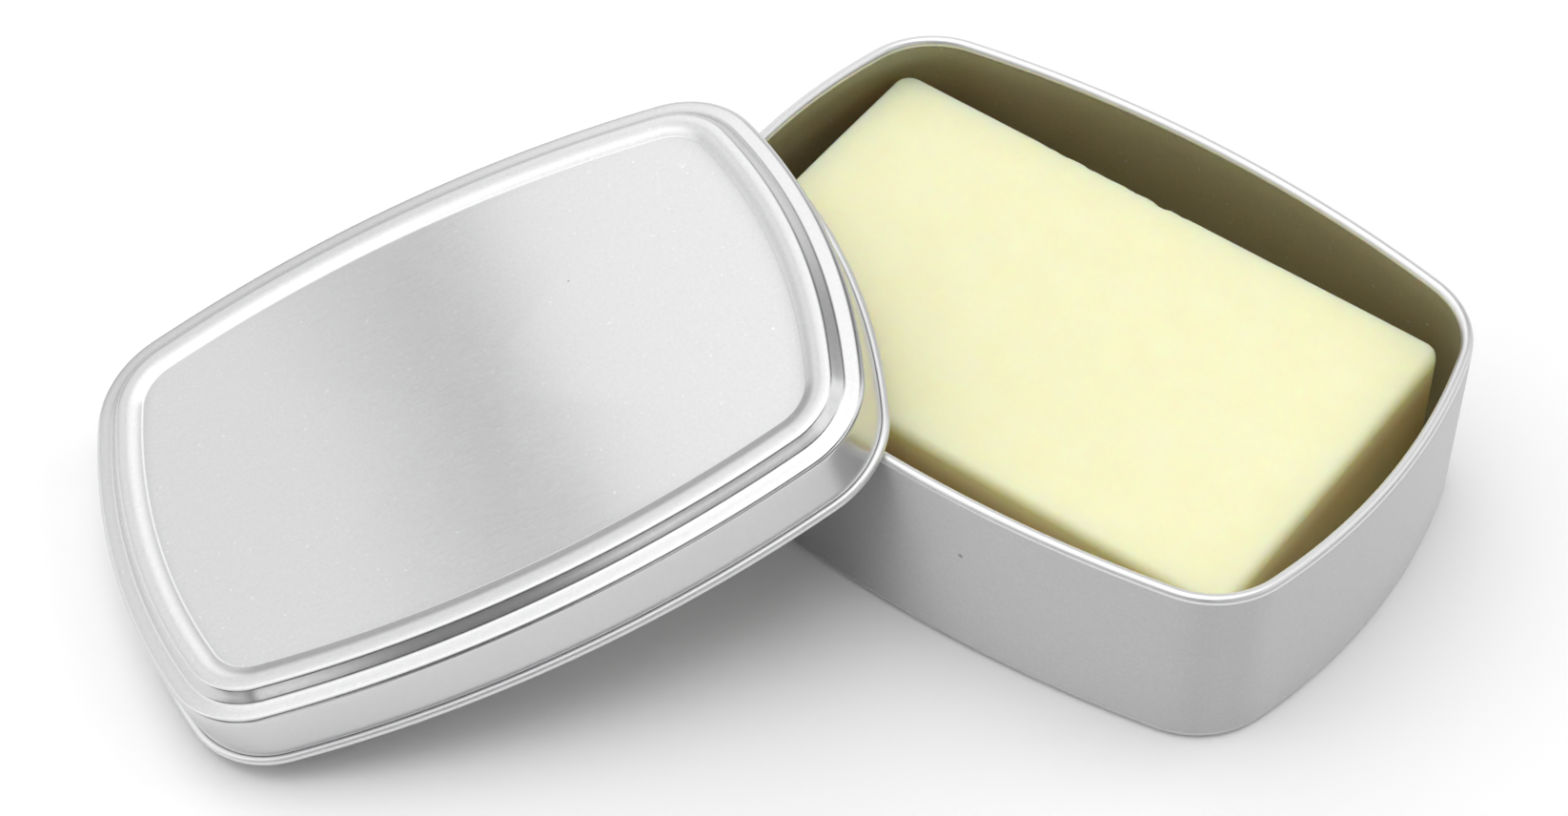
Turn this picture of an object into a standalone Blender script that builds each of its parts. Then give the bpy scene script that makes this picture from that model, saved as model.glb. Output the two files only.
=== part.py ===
"""A drawn aluminium soap tin: an open tray with a bar of soap in it, its lid leaning on the tray's rim.

All lengths are in metres. The origin is on the ground under the middle of the tray. X runs along the
tray, Y across it and Z up. Every wall is one sheet thick. Each bend is given by the radius on its inner
side, as for any bent sheet, and runs round the tray's outline.
"""

import math

import bmesh
import bpy
import numpy as np
from mathutils import Matrix, Vector

# Sheet metal and the gaps between pieces
SHEET = 0.00035
REST_GAP = 0.0003
LID_CLEARANCE = 0.00015

# Outline of the tray, seen from above: two bowed ends, two bowed sides and four round corners
TRAY_HALF_LENGTH = 0.048
TRAY_HALF_WIDTH = 0.0345
END_BOW_RADIUS = 0.082
SIDE_BOW_RADIUS = 0.1745
CORNER_RADIUS = 0.0124

# Tray, from the ground up
TRAY_HEIGHT = 0.0276
TRAY_FOOT_BEND = 0.00095
RIM_ROLL_BEND = 0.00032

# Lid, from the hem up
HEM_BEND = 0.00025
LEDGE_HEIGHT = 0.0095
SHOULDER_BEND = 0.00055
LEDGE_WIDTH = 0.0026
RISER_FOOT_BEND = 0.0005
RISER_WIDTH = 0.0013
RISER_HEIGHT = 0.00155
RING_EDGE_BEND = 0.00035
RING_TOP_WIDTH = 0.0011
RING_TOP_CROWN = 0.0001
RING_CREST_BEND = 0.00085
RING_SLOPE_WIDTH = 0.0019
PANEL_RISE = 0.001
PANEL_CREASE_BEND = 0.001

# Outer radius of the two rolled edges
RIM_ROLL_RADIUS = RIM_ROLL_BEND + SHEET
HEM_RADIUS = HEM_BEND + SHEET

# Where the lid lies: its middle is past the tray's end and side, and it points over the corner
LID_PAST_END = 0.00165
LID_PAST_SIDE = 0.018
LID_HEADING = math.radians(54.9)

# Bar of soap: it is pushed to the lid's end, where its corners just clear the rolled rim in this direction
BAR_RIM_CLEARANCE = 0.00015
BAR_CORNER_DIRECTION = math.radians(33.2)
BAR_END_PLAY = 0.0026
BAR_BELOW_RIM = 0.0056
BAR_CORNER_RADIUS = 0.0024
BAR_EDGE_RADIUS = 0.0009

# Steps on curves
BOW_STEPS = 5
CORNER_STEPS = 7
FILLET_TURN = math.radians(30)
FOOT_STEPS = 3
ROLL_STEPS = 9
BAR_CORNER_STEPS = 4
BAR_EDGE_STEPS = 3
SEATING_ROUNDS = 60
SMOOTH_ANGLE = math.radians(40)

QUARTER = math.radians(90)
ROLL_TURN = math.radians(270)


def clear_scene():
    for item in list(bpy.data.objects):
        bpy.data.objects.remove(item, do_unlink=True)


def corner_arc():
    """Centre of the round corner in the +X +Y quarter, and the directions in which it meets the bows."""
    end_x = TRAY_HALF_LENGTH - END_BOW_RADIUS
    side_y = TRAY_HALF_WIDTH - SIDE_BOW_RADIUS
    between = math.hypot(end_x, side_y)
    from_end = END_BOW_RADIUS - CORNER_RADIUS
    from_side = SIDE_BOW_RADIUS - CORNER_RADIUS
    along = (from_end**2 - from_side**2 + between**2) / (2 * between)
    across = math.sqrt(from_end**2 - along**2)
    way = Vector((-end_x, side_y)) / between
    centre = Vector((end_x, 0)) + along * way + across * Vector((-way.y, way.x))
    meets_end = math.atan2(centre.y, centre.x - end_x)
    meets_side = math.atan2(centre.y - side_y, centre.x)
    return centre, meets_end, meets_side


def outline(offset):
    """Points round the tray's outline moved outwards by offset, anticlockwise from the +X end."""
    centre, meets_end, meets_side = corner_arc()
    arcs = (
        (TRAY_HALF_LENGTH - END_BOW_RADIUS, 0, END_BOW_RADIUS, 0, meets_end, BOW_STEPS),
        (centre.x, centre.y, CORNER_RADIUS, meets_end, meets_side, CORNER_STEPS),
        (0, TRAY_HALF_WIDTH - SIDE_BOW_RADIUS, SIDE_BOW_RADIUS, meets_side, QUARTER, BOW_STEPS),
    )
    quarter = []
    for x, y, radius, start, end, steps in arcs:
        for angle in np.linspace(start, end, steps, endpoint=False):
            reach = radius + offset
            quarter.append((x + reach * math.cos(angle), y + reach * math.sin(angle)))
    top = (0, TRAY_HALF_WIDTH + offset)
    half = quarter + [top] + [(-x, y) for x, y in reversed(quarter)]
    return np.array(half + [(x, -y) for x, y in reversed(half[1:-1])])


def arc(centre, radius, start, turn, steps):
    """Points and outward directions along an arc in the profile plane."""
    angles = np.linspace(start, start + turn, steps + 1)
    ways = np.stack([np.cos(angles), np.sin(angles)], axis=1)
    return np.asarray(centre) + radius * ways, ways


def rounded_path(corners):
    """Points of a sheet's outer face through corners, given as (offset, height, bend), and its normals.

    The path has the outside of the sheet on its left. The first and last corners are bare ends. Each
    corner between them becomes an arc that meets both sides.
    """
    spots = [np.array(corner[:2], dtype=float) for corner in corners]
    points = [spots[0]]
    normals = [left_of(spots[1] - spots[0])]
    for before, here, after, (_, _, bend) in zip(spots, spots[1:], spots[2:], corners[1:]):
        way_in = (here - before) / np.linalg.norm(here - before)
        way_out = (after - here) / np.linalg.norm(after - here)
        turn = math.atan2(way_in[0] * way_out[1] - way_in[1] * way_out[0], way_in @ way_out)
        side = math.copysign(1, turn)
        radius = bend if turn > 0 else bend + SHEET
        start = here - way_in * radius * math.tan(abs(turn) / 2)
        centre = start + side * radius * left_of(way_in)
        steps = math.ceil(abs(turn) / FILLET_TURN)
        for angle in np.linspace(0, turn, steps + 1):
            normal = turned(left_of(way_in), angle)
            points.append(centre - side * radius * normal)
            normals.append(normal)
    points.append(spots[-1])
    normals.append(left_of(spots[-1] - spots[-2]))
    return np.array(points), np.array(normals)


def left_of(way):
    return np.array((-way[1], way[0])) / np.linalg.norm(way)


def turned(way, angle):
    return np.array(
        (
            way[0] * math.cos(angle) - way[1] * math.sin(angle),
            way[0] * math.sin(angle) + way[1] * math.cos(angle),
        )
    )


def sheet_profile(points, normals):
    """Closed profile of a sheet with this outer face: out along it, and back one sheet further in."""
    inner = points - SHEET * normals
    return np.concatenate([points, inner[::-1]])


def loft(name, profile, material):
    """Object whose skin is the tray's outline swept through profile, with a flat face at each end."""
    build = bmesh.new()
    rings = []
    for offset, height in profile:
        rings.append([build.verts.new((x, y, height)) for x, y in outline(offset)])
    for lower, upper in zip(rings, rings[1:]):
        for i, corner in enumerate(lower):
            build.faces.new((lower[i - 1], corner, upper[i], upper[i - 1]))
    build.faces.new(rings[0])
    build.faces.new(rings[-1])
    return finish(name, build, material)


def finish(name, build, material):
    bmesh.ops.recalc_face_normals(build, faces=build.faces[:])
    mesh = bpy.data.meshes.new(name)
    build.to_mesh(mesh)
    build.free()
    mesh.materials.append(material)
    mesh.shade_smooth()
    mesh.set_sharp_from_angle(angle=SMOOTH_ANGLE)
    item = bpy.data.objects.new(name, mesh)
    bpy.context.scene.collection.objects.link(item)
    return item


def surface(name, colour, metallic, roughness):
    material = bpy.data.materials.new(name)
    material.use_nodes = True
    shader = material.node_tree.nodes["Principled BSDF"]
    shader.inputs["Base Color"].default_value = (*colour, 1)
    shader.inputs["Metallic"].default_value = metallic
    shader.inputs["Roughness"].default_value = roughness
    return material


def make_tray(material):
    """Open drawn tray: flat base, round foot, upright wall and a rim rolled inwards, its edge free."""
    foot_radius = TRAY_FOOT_BEND + SHEET
    foot, foot_normals = arc((-foot_radius, foot_radius), foot_radius, -QUARTER, QUARTER, FOOT_STEPS)
    roll_centre = (-RIM_ROLL_RADIUS, TRAY_HEIGHT - RIM_ROLL_RADIUS)
    roll, roll_normals = arc(roll_centre, RIM_ROLL_RADIUS, 0, ROLL_TURN, ROLL_STEPS)
    points = np.concatenate([foot, roll])
    normals = np.concatenate([foot_normals, roll_normals])
    return loft("tray", sheet_profile(points, normals), material)


def hem_offset():
    """How far outside the tray's wall the middle of the lid's rolled hem lies."""
    return LID_CLEARANCE + SHEET + HEM_BEND


def make_lid(material):
    """Drawn lid: flat panel, raised ring round it, riser, ledge, skirt and a hem rolled outwards."""
    skirt = LID_CLEARANCE + SHEET
    riser_foot = skirt - LEDGE_WIDTH
    ring_edge = riser_foot - RISER_WIDTH
    ring_crest = ring_edge - RING_TOP_WIDTH
    crease = ring_crest - RING_SLOPE_WIDTH
    panel_start = crease - PANEL_CREASE_BEND
    edge_height = LEDGE_HEIGHT + RISER_HEIGHT
    panel_height = LEDGE_HEIGHT + PANEL_RISE
    path, path_normals = rounded_path(
        (
            (panel_start, panel_height, 0),
            (crease, panel_height, PANEL_CREASE_BEND),
            (ring_crest, edge_height + RING_TOP_CROWN, RING_CREST_BEND),
            (ring_edge, edge_height, RING_EDGE_BEND),
            (riser_foot, LEDGE_HEIGHT, RISER_FOOT_BEND),
            (skirt, LEDGE_HEIGHT, SHOULDER_BEND),
            (skirt, HEM_RADIUS, 0),
        )
    )
    hem, hem_ways = arc((hem_offset(), HEM_RADIUS), HEM_BEND, 2 * QUARTER, ROLL_TURN, ROLL_STEPS)
    points = np.concatenate([path[1:-1], hem])
    normals = np.concatenate([path_normals[1:-1], -hem_ways])
    return loft("lid", sheet_profile(points, normals), material)


def crossings(first, second):
    """Where two closed outlines cross, seen from above: point on the first, and both unit ways there."""
    found = []
    first_ways = np.roll(first, -1, axis=0) - first
    second_ways = np.roll(second, -1, axis=0) - second
    for start, way in zip(first, first_ways):
        apart = second[:, :2] - start[:2]
        across = way[0] * second_ways[:, 1] - way[1] * second_ways[:, 0]
        along = (apart[:, 0] * second_ways[:, 1] - apart[:, 1] * second_ways[:, 0]) / across
        along_second = (apart[:, 0] * way[1] - apart[:, 1] * way[0]) / across
        inside = (along >= 0) & (along < 1) & (along_second >= 0) & (along_second < 1)
        for i in np.nonzero(inside)[0]:
            other = second_ways[i] / np.linalg.norm(second_ways[i])
            found.append((start + along[i] * way, way / np.linalg.norm(way), other))
    return found


def lid_pose():
    """Placing of the lid that rests its hem on the ground and, at two places, on the tray's rim."""
    hem = np.column_stack([outline(hem_offset()), np.zeros(len(outline(0)))])
    rim_height = TRAY_HEIGHT - RIM_ROLL_RADIUS
    rim = np.column_stack([outline(-RIM_ROLL_RADIUS), np.full(len(outline(0)), rim_height)])
    middle = Vector((-TRAY_HALF_LENGTH - LID_PAST_END, -TRAY_HALF_WIDTH - LID_PAST_SIDE, 0))
    ahead = Vector((math.cos(LID_HEADING), math.sin(LID_HEADING), 0))
    seat_height = HEM_RADIUS + REST_GAP
    # The first guess leans the lid by the rim's height over its own length. Each round then sets the
    # hem's plane on the three places that the last one touched.
    lean = math.atan2(rim_height, 2 * TRAY_HALF_LENGTH)
    up = Vector((0, 0, 1)) * math.cos(lean) - ahead * math.sin(lean)
    height = rim_height / 2
    for _ in range(SEATING_ROUNDS):
        turn = np.array(frame_of(ahead, up).to_3x3())
        spots = hem @ turn.T + np.array((middle.x, middle.y, height))
        low = spots[np.argmin(spots[:, 2])]
        seats = [Vector((low[0], low[1], seat_height))]
        meets = sorted(crossings(spots, rim), key=lambda meet: meet[0][0])
        for spot, way, rim_way in (meets[0], meets[-1]):
            apart = np.cross(way, rim_way)
            stretch = np.linalg.norm(apart) / abs(apart[2])
            rise = (RIM_ROLL_RADIUS + HEM_RADIUS + REST_GAP) * stretch
            seats.append(Vector((spot[0], spot[1], rim_height + rise)))
        up = (seats[1] - seats[0]).cross(seats[2] - seats[0]).normalized()
        up = up if up.z > 0 else -up
        height = seats[0].z - (up.x * (middle.x - seats[0].x) + up.y * (middle.y - seats[0].y)) / up.z
    turn = frame_of(ahead, up)
    place = Vector((middle.x, middle.y, height)) - HEM_RADIUS * up
    return Matrix.Translation(place) @ turn


def frame_of(ahead, up):
    """Turn whose Z is up and whose X lies above or below ahead."""
    across = up.cross(ahead).normalized()
    along = across.cross(up)
    return Matrix((along, across, up)).transposed().to_4x4()


def bar_reach():
    """How far the bar goes from the tray's middle, to the lid's end and to each side.

    Its round corners stand inside the round corners that the rolled rim leaves open.
    """
    centre, _, _ = corner_arc()
    open_radius = CORNER_RADIUS - 2 * RIM_ROLL_RADIUS - BAR_RIM_CLEARANCE
    apart = open_radius - BAR_CORNER_RADIUS
    return (
        centre.x + apart * math.cos(BAR_CORNER_DIRECTION) + BAR_CORNER_RADIUS,
        centre.y + apart * math.sin(BAR_CORNER_DIRECTION) + BAR_CORNER_RADIUS,
    )


def make_bar(material):
    """Hand-cut bar: a block with round corners and softened edges, top and bottom."""
    end_reach, half_width = bar_reach()
    half_length = end_reach - BAR_END_PLAY / 2
    height = TRAY_HEIGHT - BAR_BELOW_RIM - SHEET - REST_GAP
    build = bmesh.new()
    edge_middle = (-BAR_EDGE_RADIUS, BAR_EDGE_RADIUS)
    edge, _ = arc(edge_middle, BAR_EDGE_RADIUS, -QUARTER, QUARTER, BAR_EDGE_STEPS)
    levels = [(-offset, rise) for offset, rise in edge]
    levels += [(inset, height - rise) for inset, rise in reversed(levels)]
    rings = []
    for inset, rise in levels:
        ring = []
        for turn, (side_x, side_y) in enumerate(((1, 1), (-1, 1), (-1, -1), (1, -1))):
            x = side_x * (half_length - BAR_CORNER_RADIUS)
            y = side_y * (half_width - BAR_CORNER_RADIUS)
            reach = BAR_CORNER_RADIUS - inset
            for angle in np.linspace(turn * QUARTER, (turn + 1) * QUARTER, BAR_CORNER_STEPS + 1):
                spot = (x + reach * math.cos(angle), y + reach * math.sin(angle), rise)
                ring.append(build.verts.new(spot))
        rings.append(ring)
    for lower, upper in zip(rings, rings[1:]):
        for i, corner in enumerate(lower):
            build.faces.new((lower[i - 1], corner, upper[i], upper[i - 1]))
    build.faces.new(rings[0])
    build.faces.new(rings[-1])
    bar = finish("soap_bar", build, material)
    bar.location = (half_length - end_reach, 0, SHEET + REST_GAP)
    return bar


clear_scene()
aluminium = surface("satin_aluminium", (0.78, 0.78, 0.79), 1, 0.35)
soap = surface("cream_soap", (0.9, 0.87, 0.6), 0, 0.5)
make_tray(aluminium)
make_bar(soap)
lid = make_lid(aluminium)
lid.matrix_world = lid_pose()
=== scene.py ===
# %% [markdown]
# # A soap tin in satin aluminium
# The tin is three loose pieces: a pressed tray, the bar of soap that lies in it, and the lid, which has
# been taken off and leans on one corner of the tray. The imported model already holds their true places
# and sizes as plain solids. This lesson dresses them with finer metal, real finishes, light and a camera.

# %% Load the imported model
import math

import bpy
import numpy as np
from mathutils import Matrix, Vector, noise


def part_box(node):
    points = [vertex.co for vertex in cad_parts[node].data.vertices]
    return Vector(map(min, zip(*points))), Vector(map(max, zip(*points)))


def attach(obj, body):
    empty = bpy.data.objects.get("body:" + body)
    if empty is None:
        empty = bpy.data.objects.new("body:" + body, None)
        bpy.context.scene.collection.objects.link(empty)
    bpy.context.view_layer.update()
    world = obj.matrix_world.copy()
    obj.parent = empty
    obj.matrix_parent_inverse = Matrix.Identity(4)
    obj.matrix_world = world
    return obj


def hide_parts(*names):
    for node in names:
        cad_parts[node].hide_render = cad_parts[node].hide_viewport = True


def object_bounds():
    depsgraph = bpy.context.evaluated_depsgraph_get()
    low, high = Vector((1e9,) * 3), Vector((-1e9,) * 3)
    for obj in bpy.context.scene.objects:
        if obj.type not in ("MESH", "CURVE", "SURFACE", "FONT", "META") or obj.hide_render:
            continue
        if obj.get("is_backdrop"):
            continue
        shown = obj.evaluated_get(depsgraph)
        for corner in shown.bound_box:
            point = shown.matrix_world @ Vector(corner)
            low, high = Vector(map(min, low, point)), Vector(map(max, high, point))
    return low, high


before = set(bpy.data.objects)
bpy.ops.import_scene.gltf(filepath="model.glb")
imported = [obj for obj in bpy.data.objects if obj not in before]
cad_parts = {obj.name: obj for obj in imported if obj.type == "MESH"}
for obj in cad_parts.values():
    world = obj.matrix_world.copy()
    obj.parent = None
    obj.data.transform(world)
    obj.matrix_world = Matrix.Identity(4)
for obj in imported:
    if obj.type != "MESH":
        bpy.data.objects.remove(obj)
cad_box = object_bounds()
MM = 0.001
for name in sorted(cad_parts):
    low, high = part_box(name)
    size = (high - low) / MM
    print(f"{name}: {size.x:.1f} x {size.y:.1f} x {size.z:.1f} mm")

# %% [markdown]
# ## One outline for both pressings
# Seen from above, the tray and the lid share one shape: two long bowed sides, two bowed ends and four
# round corners. A press tool for it is drawn with arcs that meet without a kink. Each arc here keeps its
# centre while its radius grows or shrinks, so every ring made from the outline lies at a true distance
# from the next. That keeps the sheet even, and it gives all rings the same number of points. A
# rectangle with bevelled corners would have straight sides, and scaling it would thin the sheet.

# %% The outline
HALF_LENGTH = 48 * MM
HALF_WIDTH = 34.5 * MM
END_BOW = 82 * MM
SIDE_BOW = 174.5 * MM
CORNER = 12.4 * MM
BOW_STEPS = 16
CORNER_STEPS = 16
QUARTER = math.pi / 2


def corner_arc():
    """Centre of the round corner in the +X +Y quarter, and the directions in which it meets the bows."""
    end_x = HALF_LENGTH - END_BOW
    side_y = HALF_WIDTH - SIDE_BOW
    between = math.hypot(end_x, side_y)
    from_end = END_BOW - CORNER
    from_side = SIDE_BOW - CORNER
    along = (from_end**2 - from_side**2 + between**2) / (2 * between)
    across = math.sqrt(from_end**2 - along**2)
    way = Vector((-end_x, side_y)) / between
    centre = Vector((end_x, 0)) + along * way + across * Vector((-way.y, way.x))
    return centre, math.atan2(centre.y, centre.x - end_x), math.atan2(centre.y - side_y, centre.x)


def outline(offset):
    """Points round the outline moved outwards by offset, anticlockwise from the +X end."""
    centre, meets_end, meets_side = corner_arc()
    arcs = (
        (HALF_LENGTH - END_BOW, 0, END_BOW, 0, meets_end, BOW_STEPS),
        (centre.x, centre.y, CORNER, meets_end, meets_side, CORNER_STEPS),
        (0, HALF_WIDTH - SIDE_BOW, SIDE_BOW, meets_side, QUARTER, BOW_STEPS),
    )
    quarter = []
    for x, y, radius, start, end, steps in arcs:
        for angle in np.linspace(start, end, steps, endpoint=False):
            reach = radius + offset
            quarter.append((x + reach * math.cos(angle), y + reach * math.sin(angle)))
    half = quarter + [(0, HALF_WIDTH + offset)] + [(-x, y) for x, y in reversed(quarter)]
    return np.array(half + [(x, -y) for x, y in reversed(half[1:-1])])


print(f"outline: {len(outline(0))} points, round corner's centre {corner_arc()[0] / MM}")

# %% [markdown]
# ## A sheet's cross-section
# Pressed metal is easiest to describe by its cross-section: straight runs joined by bends. Only the outer
# face is drawn here, with the way out of the metal at each point. The inner face is the same line moved
# in by the sheet's thickness, so the sheet is equally thick all over, as rolled metal is.

# %% Arcs
SHEET = 0.35 * MM
BEND_STEP = math.radians(9)


def bend_steps(turn):
    return math.ceil(abs(turn) / BEND_STEP) + 1


def arc(centre, radius, start, turn):
    """Points along an arc in the cross-section, and the way out from its centre at each."""
    angles = np.linspace(start, start + turn, bend_steps(turn))
    ways = np.stack([np.cos(angles), np.sin(angles)], axis=1)
    return np.asarray(centre) + radius * ways, ways


print(f"arcs: a quarter bend takes {bend_steps(QUARTER)} points")

# %% [markdown]
# ## Bends between straight runs
# A press can't fold metal to a sharp corner: it bends it round the nose of a tool, and the radius inside
# the bend is the tool's. So a line is given by the corners where its straight runs would meet, each with
# that radius. The outer face turns round the same centre, one sheet's thickness further out.

# %% A bent line


def left_of(way):
    return np.array((-way[1], way[0])) / np.linalg.norm(way)


def turned(way, angle):
    cosine, sine = math.cos(angle), math.sin(angle)
    return np.array((way[0] * cosine - way[1] * sine, way[0] * sine + way[1] * cosine))


def bent(corners):
    """Outer face through corners, given as (offset, height, radius inside), and its ways out."""
    spots = [np.array(corner[:2], dtype=float) for corner in corners]
    points = [spots[0]]
    ways = [left_of(spots[1] - spots[0])]
    for before, here, after, (_, _, bend) in zip(spots, spots[1:], spots[2:], corners[1:]):
        way_in = (here - before) / np.linalg.norm(here - before)
        way_out = (after - here) / np.linalg.norm(after - here)
        turn = math.atan2(way_in[0] * way_out[1] - way_in[1] * way_out[0], way_in @ way_out)
        side = math.copysign(1, turn)
        radius = bend if turn > 0 else bend + SHEET
        start = here - way_in * radius * math.tan(abs(turn) / 2)
        centre = start + side * radius * left_of(way_in)
        for angle in np.linspace(0, turn, bend_steps(turn)):
            way = turned(left_of(way_in), angle)
            points.append(centre - side * radius * way)
            ways.append(way)
    points.append(spots[-1])
    ways.append(left_of(spots[-1] - spots[-2]))
    return np.array(points), np.array(ways)


hook = bent(((0, 0, 0), (5 * MM, 0, MM), (5 * MM, 5 * MM, 0)))[0]
print(f"bends: a line with one square corner has {len(hook)} points")

# %% [markdown]
# ## Short runs
# A bend is many small faces, and the straight run beside it would be one long one. Blender blends the
# shading over both, which smears a dark or bright streak across the long face. Runs are divided, so that
# the faces stay small and even and the metal looks as flat as it is.

# %% Divide the long runs
LONGEST_RUN = 1.2 * MM


def divided(points, ways):
    """The same line, with more points wherever two lie further apart than LONGEST_RUN."""
    more, more_ways = [points[0]], [ways[0]]
    for a, b, way_a, way_b in zip(points, points[1:], ways, ways[1:]):
        steps = max(1, math.ceil(np.linalg.norm(b - a) / LONGEST_RUN))
        for share in np.linspace(0, 1, steps + 1)[1:]:
            way = way_a + share * (way_b - way_a)
            more.append(a + share * (b - a))
            more_ways.append(way / np.linalg.norm(way))
    return np.array(more), np.array(more_ways)


print(f"runs: {LONGEST_RUN / MM} mm at most")

# %% [markdown]
# ## Rings over the sheet
# The cross-section is swept round the outline: each of its points becomes a ring. The flat middle, the
# tray's base or the lid's panel, is filled with smaller copies of the innermost ring, so it can be given
# a slight crown, as a press gives it to keep the metal from rattling. Extruding a curve in Blender would
# give the walls, but not this middle.

# %% Rings
MIDDLE_RINGS = 22


def rings_over(face, crown, inside):
    """Rings over one face of a sheet, each with its length down the sheet, its point and its side."""
    walls = []
    for x, z in face:
        edge = outline(x)
        walls.append(np.column_stack([edge, np.full(len(edge), z)]))
    lengths = np.concatenate([[0], np.cumsum(np.linalg.norm(np.diff(face, axis=0), axis=1))])
    rings = []
    for share in np.linspace(0, 1, MIDDLE_RINGS, endpoint=False)[1:]:
        middle = walls[0] * (share, share, 1) + (0, 0, crown * (1 - share**2) ** 2)
        rings.append((middle, None, -1, inside))
    return rings + [(wall, lengths[i], i, inside) for i, wall in enumerate(walls)]


def sheet_rings(points, ways, crown):
    """Rings out over the outer face and back over the inner one."""
    return rings_over(points, crown, False) + rings_over(points - SHEET * ways, crown, True)[::-1]


print(f"rings: {MIDDLE_RINGS - 1} fill each flat middle")

# %% [markdown]
# ## Five kinds of face
# A press doesn't leave the sheet alike all over. The flat middle keeps its brushing, the wall is drawn
# dull, the bends are rubbed bright by the tool, and the rolled edge and the inside are unlike both. So
# every strip of faces between two rings remembers which of the five it is. Painting the finishes on by
# hand would do as well, but would have to be done again after each change of size.

# %% Kinds of face
UPRIGHT = 0.999
MIDDLE, WALL, BEND, BEAD, INSIDE = range(5)


def strip_kinds(rings, ways):
    """Kind of the strip of faces between each ring and the next."""
    upright = ways[:, 0] > UPRIGHT
    bead_start = np.flatnonzero(upright)[-1]
    kinds = []
    for (_, down, point, _), (_, next_down, next_point, next_inside) in zip(rings, rings[1:]):
        if min(point, next_point) >= bead_start:
            kinds.append(BEAD)
        elif next_inside:
            kinds.append(INSIDE)
        elif down is None or next_down is None:
            kinds.append(MIDDLE)
        else:
            kinds.append(WALL if upright[point] and upright[next_point] else BEND)
    return kinds


print(f"kinds: a face whose way out is level to {1 - UPRIGHT:.3f} counts as wall")

# %% [markdown]
# ## Places on the sheet
# Each face also gets a place on the sheet in metres, kept as a UV map: along and across the brushing on
# the middle, and round and down on the walls. The finishes read their grain from these places, and the
# reflections follow their direction, which an automatic unwrap wouldn't keep.

# %% Faces and places


def strips(rings):
    """Faces between the rings, and the place on the sheet of each face's four corners."""
    edge = outline(0)
    count = len(edge)
    steps = np.linalg.norm(np.roll(edge, -1, axis=0) - edge, axis=1)
    starts = np.concatenate([[0], np.cumsum(steps)[:-1]])
    faces, places = [], []
    for k, ((ring, down, *_), (after, next_down, *_)) in enumerate(zip(rings, rings[1:])):
        for i in range(count):
            j = (i + 1) % count
            faces.append((k * count + i, k * count + j, (k + 1) * count + j, (k + 1) * count + i))
            if down is None or next_down is None:
                places += [tuple(spot[:2]) for spot in (ring[i], ring[j], after[j], after[i])]
            else:
                a, b = starts[i], starts[i] + steps[i]
                places += [(a, down), (b, down), (b, next_down), (a, next_down)]
    return faces, places


def caps(rings, spots):
    """Fans of three-sided faces that close the first and the last ring, and their corners' places."""
    count = len(rings[0][0])
    last = (len(rings) - 1) * count
    faces = []
    for i in range(count):
        j = (i + 1) % count
        faces += [(len(spots) - 2, j, i), (len(spots) - 1, last + i, last + j)]
    return faces, [tuple(spots[corner][:2]) for face in faces for corner in face]


print("faces: strips between rings, and a cap at each end")

# %% [markdown]
# ## The closed skin
# The rings run out over the outer face, round the edge, and back over the inner one, so the skin closes
# into a real sheet with a thickness. Shading is smooth, but breaks where the sheet turns more sharply
# than a fine bend does, at its cut edge. Blender's solidify modifier would make a thickness too, but it
# can't tell the faces inside a roll from those outside it.

# %% The skin
SHARP_ANGLE = math.radians(50)


def swept(name, points, ways, crown):
    """Closed skin of a sheet whose outer face has this cross-section, and each face's kind."""
    rings = sheet_rings(points, ways, crown)
    cap_middles = [[rings[end][0].mean(axis=0)] for end in (0, -1)]
    spots = np.concatenate([ring for ring, *_ in rings] + cap_middles)
    faces, places = strips(rings)
    cap_faces, cap_places = caps(rings, spots)
    count = len(rings[0][0])
    kinds = [kind for kind in strip_kinds(rings, ways) for _ in range(count)] + [MIDDLE, INSIDE] * count
    mesh = bpy.data.meshes.new(name)
    mesh.from_pydata(spots.tolist(), [], faces + cap_faces)
    layer = mesh.uv_layers.new(name="sheet")
    layer.data.foreach_set("uv", np.array(places + cap_places, dtype=np.float32).ravel())
    mesh.shade_smooth()
    mesh.set_sharp_from_angle(angle=SHARP_ANGLE)
    return mesh, kinds


print(f"skin: {SHEET / MM} mm thick")

# %% [markdown]
# ## The tray
# The tray is drawn from one disc of sheet: a flat base, a small round foot, an upright wall, and a rim
# that is rolled inwards so that no cut edge meets the fingers. Two arcs are enough to describe it: the
# base and the wall are the straight runs that lead to them. The roll stops a little short of the wall, so
# the hollow inside it stays open, as it does on the real tin.

# %% Shape the tray
TRAY_HEIGHT = 27.6 * MM
FOOT_BEND = 0.95 * MM
RIM_BEND = 0.42 * MM
ROLL_TURN = 3 * QUARTER
foot_radius = FOOT_BEND + SHEET
rim_radius = RIM_BEND + SHEET
foot, foot_ways = arc((-foot_radius, foot_radius), foot_radius, -QUARTER, QUARTER)
roll, roll_ways = arc((-rim_radius, TRAY_HEIGHT - rim_radius), rim_radius, 0, ROLL_TURN)
tray_line, tray_ways = divided(np.concatenate([foot, roll]), np.concatenate([foot_ways, roll_ways]))
tray_mesh, tray_kinds = swept("tray_shell", tray_line, tray_ways, 0)
tray = bpy.data.objects.new("tray_shell", tray_mesh)
bpy.context.scene.collection.objects.link(tray)
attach(tray, "tray")
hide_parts("tray")
print(f"tray: {len(tray_line)} rings down the sheet, {len(tray_mesh.polygons)} faces")

# %% [markdown]
# ## The lid
# The lid starts as the same kind of disc. The press leaves a flat panel, a fine crease round it, a raised
# ring, a steep riser, a narrow ledge and a skirt that slides over the tray. Its lower edge is hemmed
# outwards into a bead. Every one of these bends catches the light as its own bright or dark line, so
# each gets its own radius.

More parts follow.
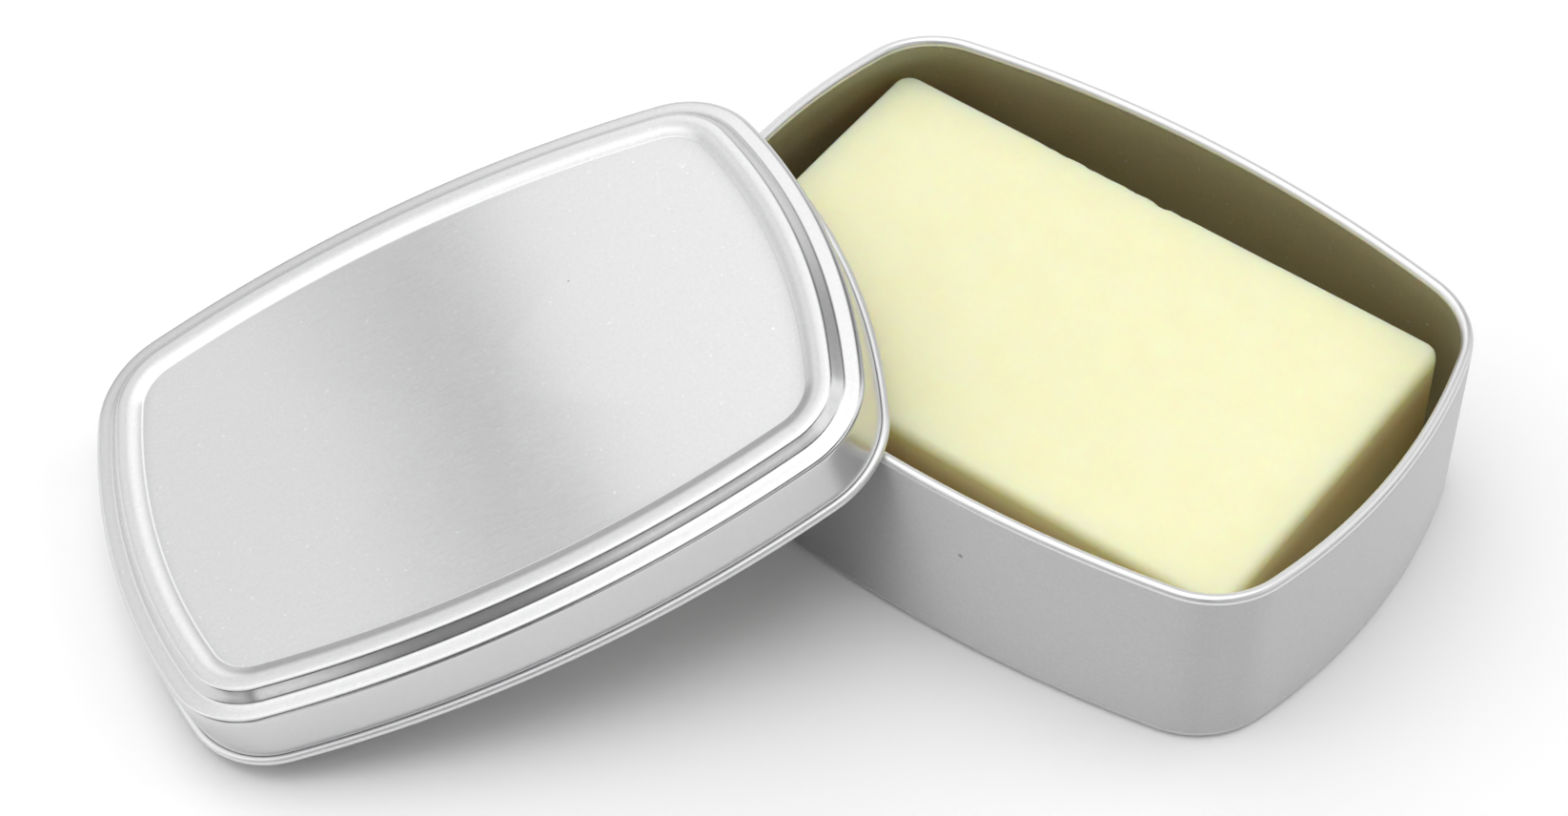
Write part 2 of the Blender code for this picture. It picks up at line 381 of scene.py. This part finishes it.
# %% The lid's sizes
LID_CLEARANCE = 0.15 * MM
PANEL_RISE = 1.0 * MM
PANEL_CROWN = 0.12 * MM
PANEL_RUN = 1.0 * MM
CREASE_BEND = 0.8 * MM
RING_RISE = 1.5 * MM
RING_SWELL = 0.15 * MM
RING_BEND = 4.2 * MM
RING_FALL = 1.85 * MM
RING_DROP = 0.22 * MM
RING_EDGE_BEND = 0.35 * MM
RISER_HEIGHT = 1.55 * MM
RISER_WIDTH = 1.2 * MM
RISER_FOOT_BEND = 0.7 * MM
LEDGE_HEIGHT = 9.5 * MM
LEDGE_WIDTH = 2.35 * MM
LEDGE_DROP = 0.25 * MM
SHOULDER_BEND = 0.45 * MM
HEM_BEND = 0.25 * MM
HEM_TURN = math.radians(290)
hem_radius = HEM_BEND + SHEET
skirt = LID_CLEARANCE + SHEET
riser_foot = skirt - LEDGE_WIDTH
ring_edge = riser_foot - RISER_WIDTH
ring_crest = ring_edge - RING_FALL
crease = ring_crest - RING_RISE
panel_height = LEDGE_HEIGHT + PANEL_RISE
ring_height = LEDGE_HEIGHT + RISER_HEIGHT + RING_SWELL
print(f"lid: the panel ends {-crease / MM:.2f} mm inside the tray's wall")

# %% [markdown]
# ## The lid's line and skin
# The line starts on the panel and ends where the hem has curled almost shut. It runs down where the
# tray's runs up, so its faces come out turned inwards, and they are turned over once they are made. The
# lid has no dull inside or drawn wall of its own: it is pressed bright on both sides.

# %% Shape the lid
lid_path, lid_path_ways = bent(
    (
        (crease - PANEL_RUN, panel_height, 0),
        (crease, panel_height, CREASE_BEND),
        (ring_crest, ring_height, RING_BEND),
        (ring_edge, ring_height - RING_DROP, RING_EDGE_BEND),
        (riser_foot, LEDGE_HEIGHT, RISER_FOOT_BEND),
        (skirt, LEDGE_HEIGHT - LEDGE_DROP, SHOULDER_BEND),
        (skirt, hem_radius, 0),
    )
)
hem, hem_ways = arc((skirt + HEM_BEND, hem_radius), HEM_BEND, math.pi, HEM_TURN)
lid_line, lid_ways = divided(
    np.concatenate([lid_path[1:-1], hem]), np.concatenate([lid_path_ways[1:-1], -hem_ways])
)
lid_mesh, lid_kinds = swept("lid_shell", lid_line, lid_ways, PANEL_CROWN)
lid_mesh.flip_normals()
lid_kinds = [BEND if kind in (WALL, INSIDE) else kind for kind in lid_kinds]
print(f"lid: {len(lid_line)} rings down the sheet, {len(lid_mesh.polygons)} faces")

# %% [markdown]
# ## Where the lid leans
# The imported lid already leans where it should, touching the table with its low end and the tray's rim
# with its high end. Its points are spread evenly about its middle, so their three principal directions
# are the lid's own length, width and height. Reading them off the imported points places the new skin
# exactly, with no angle to copy.

# %% Place the lid
MICROMETRE = 6
packed = np.array([corner.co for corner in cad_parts["lid"].data.vertices])
packed = np.unique(packed.round(MICROMETRE), axis=0)
middle = packed.mean(axis=0)
_, ways = np.linalg.eigh(np.cov((packed - middle).T))
up = ways[:, 0] * np.sign(ways[2, 0])
along = ways[:, 2] * np.sign(ways[2, 2])
across = np.cross(up, along)
seat = middle + up * ((packed - middle) @ up).min()
lid_pose = Matrix.Translation(Vector(seat)) @ Matrix((along, across, up)).transposed().to_4x4()
lid_mesh.transform(lid_pose)
lid = bpy.data.objects.new("lid_shell", lid_mesh)
bpy.context.scene.collection.objects.link(lid)
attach(lid, "lid")
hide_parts("lid")
print("lid leans by", round(math.degrees(math.acos(up[2])), 2), "degrees, at", (seat / MM).round(2))

# %% [markdown]
# ## The bar of soap
# A bar cut by hand from a slab has flat sides but no sharp edge. It is built as the skin of a block, with
# its points close together near the edges, where the rounding will need them, and further apart on the
# flat sides. A ready-made cube cut up evenly would need many more points for edges as fine.

# %% The bar's grid
BAR_SKIN_ROOM = 0.05 * MM
WIDE_STEP = 0.9 * MM
FINE_STEP = 0.22 * MM
FINE_BORDER = 2.6 * MM
bar_low, bar_high = (np.array(corner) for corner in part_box("soap_bar"))
bar_middle = (bar_low + bar_high) / 2
bar_half = (bar_high - bar_low) / 2 - BAR_SKIN_ROOM


def places_along(half):
    """Places from -half to half, close together near both ends."""
    near = np.arange(0, FINE_BORDER, FINE_STEP)
    steps = math.ceil((2 * half - 2 * FINE_BORDER) / WIDE_STEP)
    between = np.linspace(FINE_BORDER - half, half - FINE_BORDER, steps + 1)
    return np.concatenate([-half + near, between, half - near[::-1]])


def block_grid(xs, ys, zs):
    """Points and four-sided faces of the skin of a block, from the places along its three edges."""
    sizes = (len(xs), len(ys), len(zs))
    index, points, faces = {}, [], []

    def point(*key):
        if key not in index:
            index[key] = len(points)
            points.append((xs[key[0]], ys[key[1]], zs[key[2]]))
        return index[key]

    for axis in range(3):
        a, b = (axis + 1) % 3, (axis + 2) % 3
        for end in (0, sizes[axis] - 1):
            for i in range(sizes[a] - 1):
                for j in range(sizes[b] - 1):
                    corners = []
                    for di, dj in ((0, 0), (1, 0), (1, 1), (0, 1)):
                        key = [0, 0, 0]
                        key[axis], key[a], key[b] = end, i + di, j + dj
                        corners.append(point(*key))
                    faces.append(corners if end else corners[::-1])
    return np.array(points), faces


bar_points, bar_faces = block_grid(*(places_along(half) for half in bar_half))
print(f"bar: {len(bar_points)} points, {bar_half * 2 / MM} mm")

# %% [markdown]
# ## Round corners
# The four upright corners are pared round after the bar is cut, so that it sits well in the hand. They
# are rounded in plan, by mapping the square at each corner onto a quarter circle, which keeps the grid's
# order and its evenly spread points.

# %% Round its corners in plan
BAR_CORNER = 2.4 * MM
NEARLY_ZERO = 1e-9
core_half = bar_half[:2] - BAR_CORNER
core = np.clip(bar_points[:, :2], -core_half, core_half)
off = (bar_points[:, :2] - core) / BAR_CORNER
off = off * np.sqrt(1 - off[:, ::-1] ** 2 / 2)
plan = core + off * BAR_CORNER
past_core = np.abs(plan) - core_half
at_corner = (past_core > 0).all(axis=1)
past = np.where(at_corner, np.linalg.norm(np.maximum(past_core, 0), axis=1), past_core.max(axis=1))
inside = BAR_CORNER - past
straight = np.eye(2)[past_core.argmax(axis=1)] * np.sign(plan)
rounded = off / np.maximum(np.linalg.norm(off, axis=1), NEARLY_ZERO)[:, None]
way = np.where(at_corner[:, None], rounded, straight)
way /= np.maximum(np.linalg.norm(way, axis=1), NEARLY_ZERO)[:, None]
print(f"bar: {at_corner.sum()} points lie on its four round corners")

# %% [markdown]
# ## Worn edges
# The first few uses leave the edges of the top and bottom a little round too, but not all alike. Every
# point near such an edge is drawn onto a round of its own size, larger towards WORN_WAY, where the bar
# has been handled most. Blender's bevel would give all the edges one size.

# %% Round its worn edges
BAR_EDGE = 0.75 * MM
BAR_WORN_EDGE = 1.5 * MM
WORN_WAY = np.array((0.75, -0.66))
WORN_SPREAD = 1.4
WORN_EVERYWHERE = 0.2
half_z = bar_half[2]
worn = np.clip(way @ WORN_WAY * WORN_SPREAD + WORN_EVERYWHERE, 0, 1) * (bar_points[:, 2] > 0)
edge = BAR_EDGE + (BAR_WORN_EDGE - BAR_EDGE) * worn**2 * (3 - 2 * worn)
level = half_z - np.abs(bar_points[:, 2])
sideways = np.clip(edge - inside, 0, None)
upwards = np.clip(edge - level, 0, None)
near_edge = (sideways > 0) & (upwards > 0)
scale = np.where(near_edge, edge / np.maximum(np.hypot(sideways, upwards), NEARLY_ZERO), 1)
bar_points[:, :2] = plan + way * np.where(near_edge, sideways * (scale - 1), 0)[:, None]
rise = np.where(near_edge, upwards * scale + half_z - edge, half_z - level)
bar_points[:, 2] = np.sign(bar_points[:, 2]) * rise
print("bar's edges:", edge.min() / MM, "to", edge.max() / MM, "mm round")

# %% [markdown]
# ## A knife's unevenness
# A cut face is never quite flat, and on this bar the far edge has a few shallow nicks where the knife
# dragged. Slow noise moves every point a little along its own way out, fine noise roughens the cut, and
# each nick presses the edge in over a millimetre or two. The waves press inwards rather than outwards,
# so the bar keeps within its packed size. Each nick is its place along the edge, its width and its depth.

# %% Wear the bar
SLOW_WAVE = 0.10 * MM
SLOW_LENGTH = 22 * MM
SLOW_TOP = 0.6
FINE_WAVE = 0.012 * MM
FINE_LENGTH = 1.6 * MM
FINE_TOP = 0.8
NICK_REACH = 0.8 * MM
NICK_SINK = 0.8
NICKS = (
    (-19.5, 1.4, 0.10),
    (-17.0, 2.6, 0.14),
    (-12.8, 1.5, 0.16),
    (-10.2, 3.0, 0.12),
    (-6.0, 2.4, 0.14),
    (-1.8, 1.9, 0.36),
    (1.2, 1.6, 0.12),
)
bar_mesh = bpy.data.meshes.new("soap_block")
bar_mesh.from_pydata((bar_points + bar_middle).tolist(), [], bar_faces)
bar_mesh.shade_smooth()
spots = np.array([corner.co for corner in bar_mesh.vertices])
outwards = np.array([corner.normal for corner in bar_mesh.vertices])
slow = np.array([noise.noise(Vector(spot) / SLOW_LENGTH) for spot in spots])
fine = np.array([noise.noise(Vector(spot) / FINE_LENGTH) for spot in spots])
spots += outwards * (SLOW_WAVE * (slow - SLOW_TOP) + FINE_WAVE * (fine - FINE_TOP))[:, None]
for place, width, depth in NICKS:
    along_edge = np.exp(-(((spots[:, 0] - place * MM) / (width * MM / 2)) ** 2))
    from_edge = np.hypot(spots[:, 1] - bar_high[1], spots[:, 2] - bar_high[2])
    press = depth * MM * along_edge * np.exp(-((from_edge / NICK_REACH) ** 2))
    spots[:, 1] -= press
    spots[:, 2] -= press * NICK_SINK
bar_mesh.vertices.foreach_set("co", spots.astype(np.float32).ravel())
bar_mesh.update()
bar = bpy.data.objects.new("soap_block", bar_mesh)
bpy.context.scene.collection.objects.link(bar)
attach(bar, "soap_bar")
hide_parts("soap_bar")
print(f"bar: {len(bar_mesh.polygons)} faces, nicked at {len(NICKS)} places")

# %% [markdown]
# ## Helpers for the finishes
# A finish is a small tree of nodes. Noise gives the grain: where it is squeezed along one direction, its
# blots draw out into lines, as brushing does on metal. A function for each such step keeps the finishes
# below short enough to read.

# %% Helpers: nodes and grain


def add_node(tree, kind, **settings):
    item = tree.nodes.new(kind)
    for key, value in settings.items():
        if key in item.inputs:
            item.inputs[key].default_value = value
        else:
            setattr(item, key, value)
    return item


def stretched(tree, source, scale):
    """The place vector with each axis scaled, so that noise on it draws out into lines."""
    item = add_node(tree, "ShaderNodeVectorMath", operation="MULTIPLY")
    item.inputs[1].default_value = scale
    tree.links.new(source, item.inputs[0])
    return item.outputs[0]


def grain(tree, source, scale, detail):
    item = add_node(tree, "ShaderNodeTexNoise", Scale=1.0, Detail=detail, Roughness=0.6)
    tree.links.new(stretched(tree, source, scale), item.inputs["Vector"])
    return item.outputs[0]


def even(value):
    return (value, value, value)


print("helpers: nodes and grain are ready")

# %% [markdown]
# ## Ranges, sums and blends
# Noise runs from nothing to one, and a finish needs only part of that: a range picks how much of it
# counts. A sum lays two grains over each other, and a blend turns the result into a colour. The tent of
# light below is built of the same steps.

# %% Helpers: ranges, sums and blends


def ranged(tree, source, low, high, out_low=0.0, out_high=1.0, smooth=False):
    item = add_node(tree, "ShaderNodeMapRange")
    item.interpolation_type = "SMOOTHSTEP" if smooth else "LINEAR"
    ends = zip(("From Min", "From Max", "To Min", "To Max"), (low, high, out_low, out_high))
    for socket, value in ends:
        item.inputs[socket].default_value = value
    tree.links.new(source, item.inputs["Value"])
    return item.outputs[0]


def combined(tree, operation, first, second):
    item = add_node(tree, "ShaderNodeMath", operation=operation)
    for socket, source in zip(item.inputs, (first, second)):
        if isinstance(source, (int, float)):
            socket.default_value = source
        else:
            tree.links.new(source, socket)
    return item.outputs[0]


def blended(tree, share, first, second):
    """Colour between two colours or colour sockets."""
    item = add_node(tree, "ShaderNodeMix", data_type="RGBA")
    tree.links.new(share, item.inputs["Factor"])
    for socket, source in zip((item.inputs[6], item.inputs[7]), (first, second)):
        if isinstance(source, tuple):
            socket.default_value = (*source, 1)
        else:
            tree.links.new(source, socket)
    return item.outputs[2]


def new_material(name):
    material = bpy.data.materials.new(name)
    material.use_nodes = True
    return material, material.node_tree, material.node_tree.nodes["Principled BSDF"]


print("helpers: ranges, sums and blends are ready")

# %% [markdown]
# ## Satin aluminium
# Rolled sheet keeps a fine grain from the mill, and the press polishes it a little where it bends. A
# metal's colour is its reflection, so the look comes mostly from roughness. Along the grain a reflection
# stays sharp, and across it the grain smears it wide, so the finishes are anisotropic and follow the
# directions stored on the sheet. The grain is far too fine to be made as geometry, so it stays in the
# material, as tone, roughness and a very shallow bump, with a few brighter specks where it glints.

# %% A recipe for aluminium
CLOUD_SIZE = even(110)
FLECK_SIZE = even(2600)
SPARKLE_SIZE = even(1500)


def grey(level):
    """A metal's grey, a touch bluer than neutral."""
    return (level, level, level + 0.005)


def aluminium(name, roughness, anisotropic, line_size, line_depth, dark, light):
    """Satin metal whose grain runs along the first direction of the sheet's own places."""
    material, tree, shader = new_material(name)
    sheet = add_node(tree, "ShaderNodeUVMap", uv_map="sheet").outputs[0]
    solid = add_node(tree, "ShaderNodeTexCoord").outputs["Object"]
    lines = grain(tree, sheet, line_size, 5.0)
    cloud = grain(tree, solid, CLOUD_SIZE, 2.0)
    fleck = grain(tree, solid, FLECK_SIZE, 2.0)
    half_lines, half_fleck = (combined(tree, "MULTIPLY", part, 0.5) for part in (lines, fleck))
    tone = combined(tree, "ADD", half_lines, half_fleck)
    metal = blended(tree, ranged(tree, tone, 0.35, 0.65), dark, light)
    sparkles = ranged(tree, grain(tree, solid, SPARKLE_SIZE, 1.0), 0.71, 0.80)
    tree.links.new(blended(tree, sparkles, metal, grey(0.70)), shader.inputs["Base Color"])
    uneven_lines = ranged(tree, lines, 0.3, 0.7, -0.02, 0.02)
    uneven_cloud = ranged(tree, cloud, 0.3, 0.7, -0.01, 0.01)
    uneven = combined(tree, "ADD", uneven_lines, uneven_cloud)
    tree.links.new(combined(tree, "ADD", uneven, roughness), shader.inputs["Roughness"])
    bump = add_node(tree, "ShaderNodeBump", Strength=1.0, Distance=line_depth)
    tree.links.new(tone, bump.inputs["Height"])
    tree.links.new(bump.outputs[0], shader.inputs["Normal"])
    shader.inputs["Metallic"].default_value = 1.0
    shader.inputs["Anisotropic"].default_value = anisotropic
    shader.inputs["Anisotropic Rotation"].default_value = 0.25
    tangent = add_node(tree, "ShaderNodeTangent", direction_type="UV_MAP", uv_map="sheet")
    tree.links.new(tangent.outputs[0], shader.inputs["Tangent"])
    return material


print("aluminium: one recipe for every finish")

# %% [markdown]
# ## Five finishes from one recipe
# The panel is brushed and sharpest, the tray's wall is drawn and duller, the bends are burnished, the
# rolled rim and hem are worn bright by hands, and the tray's inside is dull, with its grey darkened and
# tinted gold: painted shade and a painted reflection of the soap.
# They are one metal, so each line of the list only says how rough it is, how far its grain smears a
# reflection, how large and how deep the grain is, and its darker and its lighter tone.

# %% The aluminium
PANEL_LINES = (260, 9000, 1)
WALL_LINES = (420, 5200, 1)
BEND_LINES = (900, 2400, 1)
PANEL_DEPTH = 0.0002 * MM
LINE_DEPTH = 0.0003 * MM
# Painted shade and a painted reflection of the soap: the tray's inside is darker than the rest of the
# metal and tinted gold.
INSIDE_SHADE_GOLD_DARK = (0.50, 0.485, 0.36)
INSIDE_SHADE_GOLD_LIGHT = (0.56, 0.545, 0.42)
metals = (
    aluminium("brushed_panel", 0.15, 0.9, PANEL_LINES, PANEL_DEPTH, grey(0.60), grey(0.64)),
    aluminium("drawn_wall", 0.55, 0.9, WALL_LINES, LINE_DEPTH, grey(0.62), grey(0.68)),
    aluminium("pressed_bend", 0.24, 0.2, BEND_LINES, LINE_DEPTH, grey(0.62), grey(0.66)),
    aluminium("rolled_bead", 0.42, 0.2, BEND_LINES, LINE_DEPTH, grey(0.74), grey(0.78)),
    aluminium("dull_inside_painted_shade", 0.60, 0.0, BEND_LINES, LINE_DEPTH, INSIDE_SHADE_GOLD_DARK, INSIDE_SHADE_GOLD_LIGHT),
)
for skin, kinds in ((tray, tray_kinds), (lid, lid_kinds)):
    for metal in metals:
        skin.data.materials.append(metal)
    skin.data.polygons.foreach_set("material_index", kinds)
print("aluminium:", [slot.name for slot in lid.material_slots])

# %% [markdown]
# ## Two small specks
# Even a clean tin has a pit or a grain of dirt pressed into it. Here there is one on the tray's front
# wall and a finer one at the low end of the lid's panel. The material darkens within a small distance of
# that place on the object, so the speck stays where it is when the tin is seen from another side.

# %% The specks
WALL_SPECK = (8.5, -34.25, 17.6)
WALL_SPECK_REACH = 0.45 * MM
PANEL_SPECK = (-49.8, -36.2, 30.1)
PANEL_SPECK_REACH = 0.22 * MM
SPECK_CORE = 0.4


def spotted(material, place, reach, tone):
    """Sets one small fault into a finished surface, at this place on the object."""
    tree = material.node_tree
    colour = tree.nodes["Principled BSDF"].inputs["Base Color"]
    apart = add_node(tree, "ShaderNodeVectorMath", operation="DISTANCE")
    apart.inputs[1].default_value = Vector(place) * MM
    tree.links.new(add_node(tree, "ShaderNodeTexCoord").outputs["Object"], apart.inputs[0])
    share = ranged(tree, apart.outputs["Value"], reach * SPECK_CORE, reach, 1, 0, smooth=True)
    tree.links.new(blended(tree, share, colour.links[0].from_socket, tone), colour)


spotted(metals[WALL], WALL_SPECK, WALL_SPECK_REACH, (0.36, 0.36, 0.37))
spotted(metals[MIDDLE], PANEL_SPECK, PANEL_SPECK_REACH, (0.40, 0.40, 0.41))
print("specks at", WALL_SPECK, "and", PANEL_SPECK, "mm")

# %% [markdown]
# ## Soap
# Soap is cloudy rather than opaque: light goes a few millimetres into it and comes out warmer, because
# red travels furthest. That is why the shaded sides glow gold while the top stays pale cream. Subsurface
# scattering does this, and the sides are also painted a deeper gold below the top few millimetres: a
# painted shade for the dim, warm light between the bar and the tray. A faint mottling and a soft, waxy
# gloss finish it.

# %% The soap
# Painted shade: below its top, the bar's sides are coloured a deeper gold for the dim, warm light in the
# gap.
SOAP_SHADE_FROM = 1.8 * MM
SOAP_SHADE_FULL = 6.5 * MM
SOAP_SHADE_GOLD = (0.82, 0.68, 0.33)
MOTTLE_SIZE = even(170)
KNIFE_SIZE = (900, 900, 1400)
KNIFE_DEPTH = 0.02 * MM
LIGHT_DEPTH = 5 * MM
material, tree, shader = new_material("cream_soap")
solid = add_node(tree, "ShaderNodeTexCoord").outputs["Object"]
mottle = grain(tree, solid, MOTTLE_SIZE, 3.0)
cut = grain(tree, solid, KNIFE_SIZE, 2.0)
cream = blended(tree, ranged(tree, mottle, 0.35, 0.65), (0.935, 0.885, 0.575), (0.95, 0.9, 0.605))
place = add_node(tree, "ShaderNodeSeparateXYZ")
tree.links.new(solid, place.inputs[0])
top = bar_high[2]
# Painted shade: the share of the deeper gold grows from the top of the bar downwards.
painted_gold = ranged(tree, place.outputs[2], top - SOAP_SHADE_FULL, top - SOAP_SHADE_FROM, 1, 0, smooth=True)
tree.links.new(blended(tree, painted_gold, cream, SOAP_SHADE_GOLD), shader.inputs["Base Color"])
tree.links.new(ranged(tree, cut, 0.3, 0.7, 0.42, 0.52), shader.inputs["Roughness"])
bump = add_node(tree, "ShaderNodeBump", Strength=1.0, Distance=KNIFE_DEPTH)
tree.links.new(cut, bump.inputs["Height"])
tree.links.new(bump.outputs[0], shader.inputs["Normal"])
shader.inputs["Subsurface Weight"].default_value = 1.0
shader.inputs["Subsurface Radius"].default_value = (1.0, 0.68, 0.2)
shader.inputs["Subsurface Scale"].default_value = LIGHT_DEPTH
shader.inputs["Specular IOR Level"].default_value = 0.4
bar.data.materials.append(material)
print(f"soap: golden from {SOAP_SHADE_FROM / MM:.1f} mm below its top, fully so at {SOAP_SHADE_FULL / MM:.1f} mm")

# %% [markdown]
# ## The table
# The tin stands on a plain white table. One large flat face is enough for it, because only its colour
# and the tin's shadow on it are seen. It has no gloss, so that no bright patch draws the eye from the
# metal.

# %% The table
TABLE_REACH = 3.0
TABLE_WHITE = even(0.985)
corners = [(x * TABLE_REACH, y * TABLE_REACH, 0) for x, y in ((-1, -1), (1, -1), (1, 1), (-1, 1))]
table_mesh = bpy.data.meshes.new("table")
table_mesh.from_pydata(corners, [], [(0, 1, 2, 3)])
table = bpy.data.objects.new("table", table_mesh)
bpy.context.scene.collection.objects.link(table)
table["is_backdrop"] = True
material, tree, shader = new_material("white_table")
shader.inputs["Base Color"].default_value = (*TABLE_WHITE, 1)
shader.inputs["Roughness"].default_value = 0.9
shader.inputs["Specular IOR Level"].default_value = 0.0
table_mesh.materials.append(material)
print(f"table: {2 * TABLE_REACH} m square")

# %% [markdown]
# ## A tent of light
# Bare metal shows little of itself and much of its surroundings, so a studio puts it in a tent of white
# cloth, lit from outside. Lamps would show in it as hard spots. The tent here is one world shader, made
# of soft round patches, so the light on the table and the reflections in the metal agree.

# %% A patch of cloth
world = bpy.data.worlds.new("light_tent")
bpy.context.scene.world = world
world.use_nodes = True
tree = world.node_tree
way = add_node(tree, "ShaderNodeTexCoord").outputs["Generated"]


def towards(direction):
    """Cosine of the angle between the looked-at way and this direction."""
    item = add_node(tree, "ShaderNodeVectorMath", operation="DOT_PRODUCT")
    item.inputs[1].default_value = Vector(direction).normalized()
    tree.links.new(way, item.inputs[0])
    return item.outputs["Value"]


def sky_way(azimuth, elevation):
    azimuth, elevation = math.radians(azimuth), math.radians(elevation)
    level = math.cos(elevation)
    return level * math.cos(azimuth), level * math.sin(azimuth), math.sin(elevation)


def patch(azimuth, elevation, full, gone, strength):
    """Round soft patch of cloth, lit evenly out to one angle from its middle and dark past another."""
    near, far = math.cos(math.radians(full)), math.cos(math.radians(gone))
    return ranged(tree, towards(sky_way(azimuth, elevation)), far, near, 0.0, strength, smooth=True)


print("tent: a patch of cloth can be hung in any direction")

# %% [markdown]
# ## Where the cloth is lit
# Each patch is written as its direction round and up in degrees, how far it is lit evenly, where it ends,
# and its strength. Seen from the camera, behind is at 127, the left at 217 and the right at 37 degrees
# round. The wide patches overhead and behind light the tin, and each narrow one low in front is there
# for one bright line on the bends, as a photographer sets a small card of white paper.

# %% The tent of light
TENT = (
    (0, 90, 11, 28, 1.15),  # overhead
    (60, 70, 8, 26, 1.1),  # overhead, to the right
    (300, 70, 8, 26, 1.15),  # overhead, over the camera
    (180, 70, 8, 24, 0.3),  # overhead, to the left: dim, for the panel's darker end
    (170, 54, 14, 38, 1.17),  # the back cloth that the lid's panel shows
    (240, 43, 12, 33, 1.15),  # the left cloth
    (188, 29, 5, 14, 0.15),  # below the back cloth, where it falls away
    (130, 40, 12, 34, 0.3),  # straight behind, dim
    (55, 36, 10, 28, 1.1),  # the right cloth
    (321, 22, 3, 8, 2.1),  # cards in front, for the lid's riser
    (334, 26, 4, 9, 1.6),
    (349, 29, 4, 10, 1.4),
    (12, 32, 6, 18, 1.4),
    (32, 31, 5, 12, 0.35),
    (291, 13, 4, 9, 1.6),  # cards below them, for the riser's left half and the tray's wall
    (306, 19, 3, 9, 0.35),
    (271, 6, 4, 12, 0.6),
    (75, 5, 10, 36, 0.45),  # low cloth round the back, which the soap and the rim see
    (120, 5, 10, 36, 0.9),
    (165, 5, 10, 36, 0.5),
    (210, 5, 10, 36, 1.2),
)
UNLIT_CLOTH = 0.03
light = patch(*TENT[0])
for place in TENT[1:]:
    light = combined(tree, "ADD", light, patch(*place))
light = combined(tree, "ADD", light, UNLIT_CLOTH)
print(f"tent: {len(TENT)} patches of lit cloth")

# %% [markdown]
# ## The fold in the cloth
# The soft dark band across the lid's panel is the reflection of a fold in the tent, where two cloths
# overlap. Only the panel sees that part of the tent. The fold is drawn with the lid's own long direction,
# which is how the band comes to lie square across the lid: the left cloth ends gently, and the right one
# more suddenly. Each is two places across the fold, and the light that the cloth gives at them.

# %% The fold
FOLD_PLACE = (172, 44, 16, 32, 1.0)
FOLD_DEPTH = 0.47
LEFT_CLOTH = (-0.105, -0.15, 0.0, 0.40)
RIGHT_CLOTH = (-0.095, -0.073, 0.0, 0.48)
side = towards(along)
left_cloth = ranged(tree, side, *LEFT_CLOTH)
right_cloth = ranged(tree, side, *RIGHT_CLOTH, smooth=True)
fold = combined(tree, "SUBTRACT", combined(tree, "MAXIMUM", left_cloth, right_cloth), FOLD_DEPTH)
light = combined(tree, "ADD", light, combined(tree, "MULTIPLY", fold, patch(*FOLD_PLACE)))
light = combined(tree, "MAXIMUM", light, 0.0)
print(f"fold: {FOLD_DEPTH} darker than the cloth, {FOLD_PLACE[1]} degrees up")

# %% [markdown]
# ## White behind it all
# Past the table's edge the camera should see plain white paper, not the tent. The world tells the two
# apart with Is Camera Ray: the camera itself gets a strength of one, which is white, and every other ray,
# such as one that the metal reflects, gets the tent.

# %% The white background
seen = add_node(tree, "ShaderNodeLightPath").outputs["Is Camera Ray"]
mix = add_node(tree, "ShaderNodeMix", data_type="FLOAT")
tree.links.new(seen, mix.inputs["Factor"])
tree.links.new(light, mix.inputs[2])
mix.inputs[3].default_value = 1.0
background = tree.nodes["Background"]
tree.links.new(mix.outputs[0], background.inputs["Strength"])
background.inputs["Color"].default_value = (1, 1, 1, 1)
print(f"world: {len(tree.nodes)} nodes")

# %% [markdown]
# ## The camera
# The view is a studio camera's with a long lens, about half a metre away and looking down on the tin, so
# its sides stay nearly parallel. Its three directions were worked out from the tray's outline, which is
# surer than turning a camera by eye.

# %% The camera
LENS = 88.93
SENSOR = 36
CLOSEST_SEEN = 10 * MM
CAMERA_PLACE = Vector((162.846, -278.978, 384.801)) * MM
RIGHT = Vector((0.802424, 0.596749, 0.002496))
UP = Vector((-0.456195, 0.610719, 0.647232))
BACK = Vector((0.384711, -0.520493, 0.762289))
camera_data = bpy.data.cameras.new("camera")
camera_data.sensor_width = SENSOR
camera_data.lens = LENS
camera_data.clip_start = CLOSEST_SEEN
camera = bpy.data.objects.new("camera", camera_data)
bpy.context.scene.collection.objects.link(camera)
camera.matrix_world = Matrix.Translation(CAMERA_PLACE) @ Matrix((RIGHT, UP, BACK)).transposed().to_4x4()
bpy.context.scene.camera = camera
bpy.context.scene.view_settings.view_transform = "Standard"
print(f"camera: {LENS} mm lens, {CAMERA_PLACE.length:.3f} m from the tray")

# %% [markdown]
# ## The last check
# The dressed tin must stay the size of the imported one. Both boxes are written down side by side, so that
# a skin that strays from its solid shows at once.

# %% Finish
scene_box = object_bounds()
for name, box in (("packed", cad_box), ("dressed", scene_box)):
    print(name, "box in mm:", [tuple(round(value / MM, 2) for value in corner) for corner in box])
